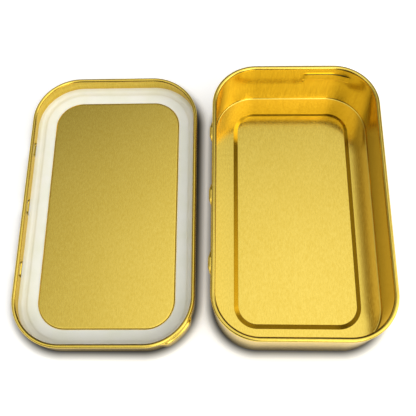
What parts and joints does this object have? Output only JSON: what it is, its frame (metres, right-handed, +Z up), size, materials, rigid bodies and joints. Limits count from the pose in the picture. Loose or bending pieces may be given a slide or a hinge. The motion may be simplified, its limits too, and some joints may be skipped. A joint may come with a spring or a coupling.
{
  "type": "tobacco tin",
  "caption": "Flat oblong tobacco tin in gold-lacquered sheet metal, open: a deep drawn base and its hinged lid lying unhooked beside it, inside up, with a white sealing ring.",
  "frame": {"origin": "middle of the pair's underside, on the surface that the base and the lid both rest on", "axes": "+X from the lid to the base, +Y along the tin's long side towards the far end, +Z up"},
  "size_m": [0.1688, 0.1366, 0.0289],
  "materials": {
    "gold_lacquer": "clear gold lacquer over satin tinplate",
    "sealing_compound": "soft satin"
  },
  "bodies": {
    "root": {"base_tray": "gold_lacquer", "lid_pan": "gold_lacquer", "sealing_ring": "sealing_compound"}
  },
  "joints": []
}
